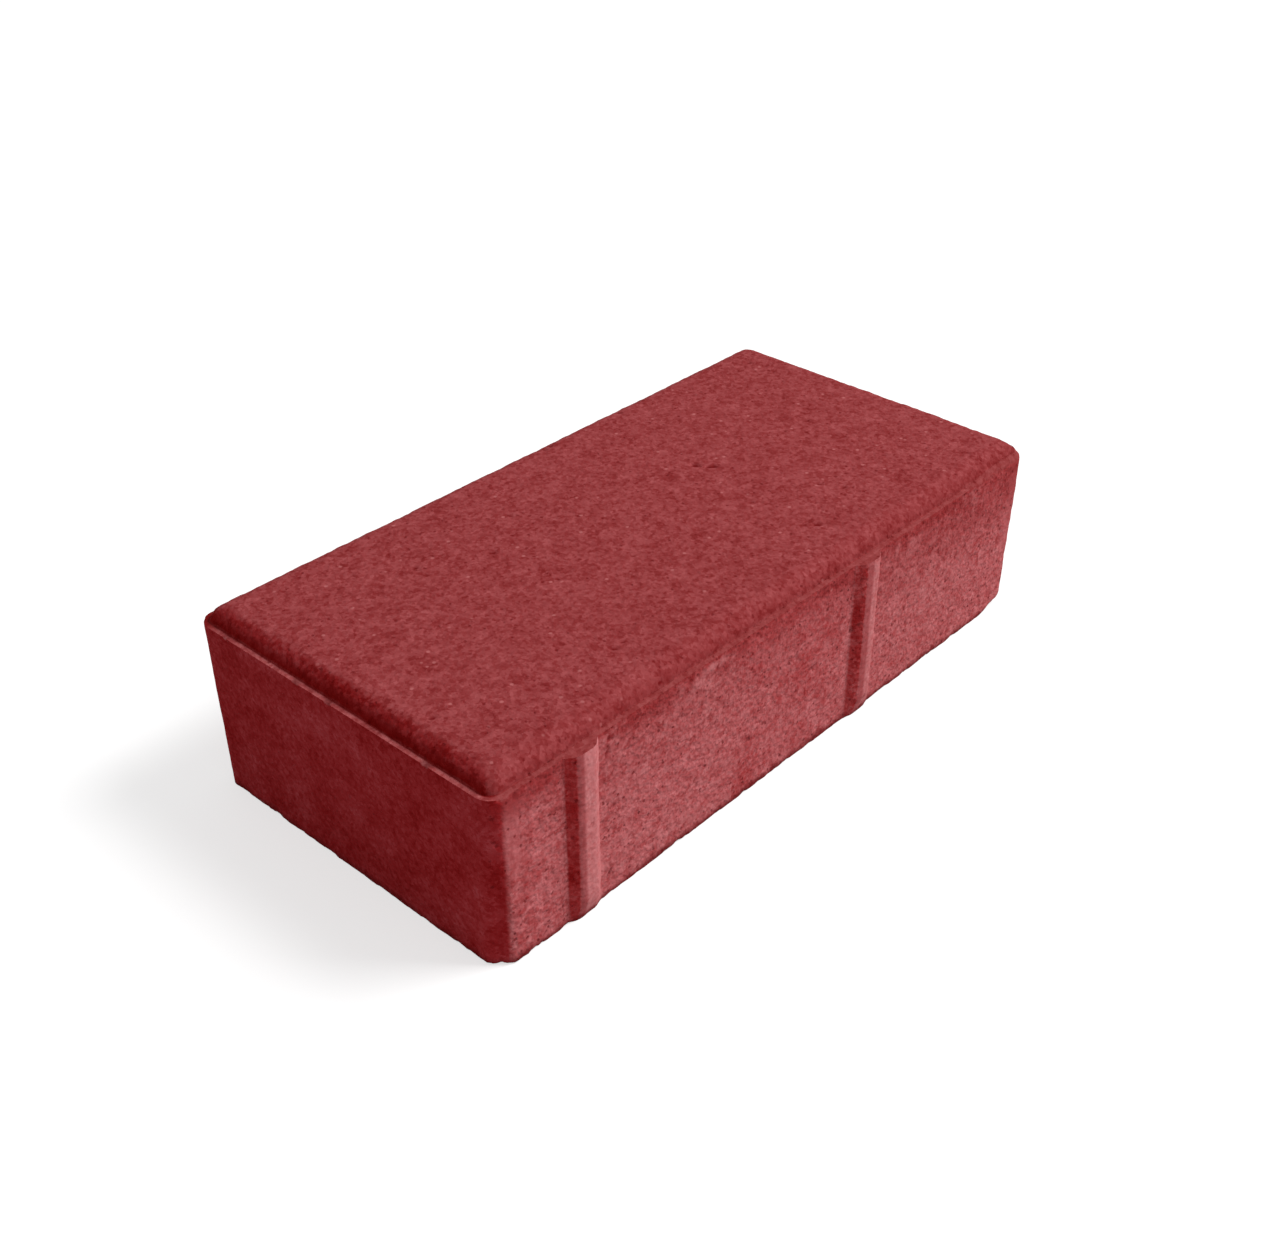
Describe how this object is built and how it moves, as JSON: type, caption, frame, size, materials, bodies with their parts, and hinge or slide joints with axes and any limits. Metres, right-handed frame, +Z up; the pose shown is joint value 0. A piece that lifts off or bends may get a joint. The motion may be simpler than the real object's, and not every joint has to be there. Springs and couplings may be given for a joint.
{
  "type": "concrete paving stone",
  "caption": "Rectangular pressed-concrete paving stone with a rounded top shoulder, a narrow rim ledge and spacer ribs on one long side.",
  "frame": {"origin": "middle of the bedding face of the body, ribs left aside, on the ground", "axes": "+X along the stone's length, -Y out of the side with the ribs, +Z up out of the wearing face"},
  "size_m": [0.198, 0.1, 0.05],
  "materials": {
    "red_concrete": "matte, open-grained, dyed red"
  },
  "bodies": {
    "root": {"paving_stone": "red_concrete"}
  },
  "joints": []
}
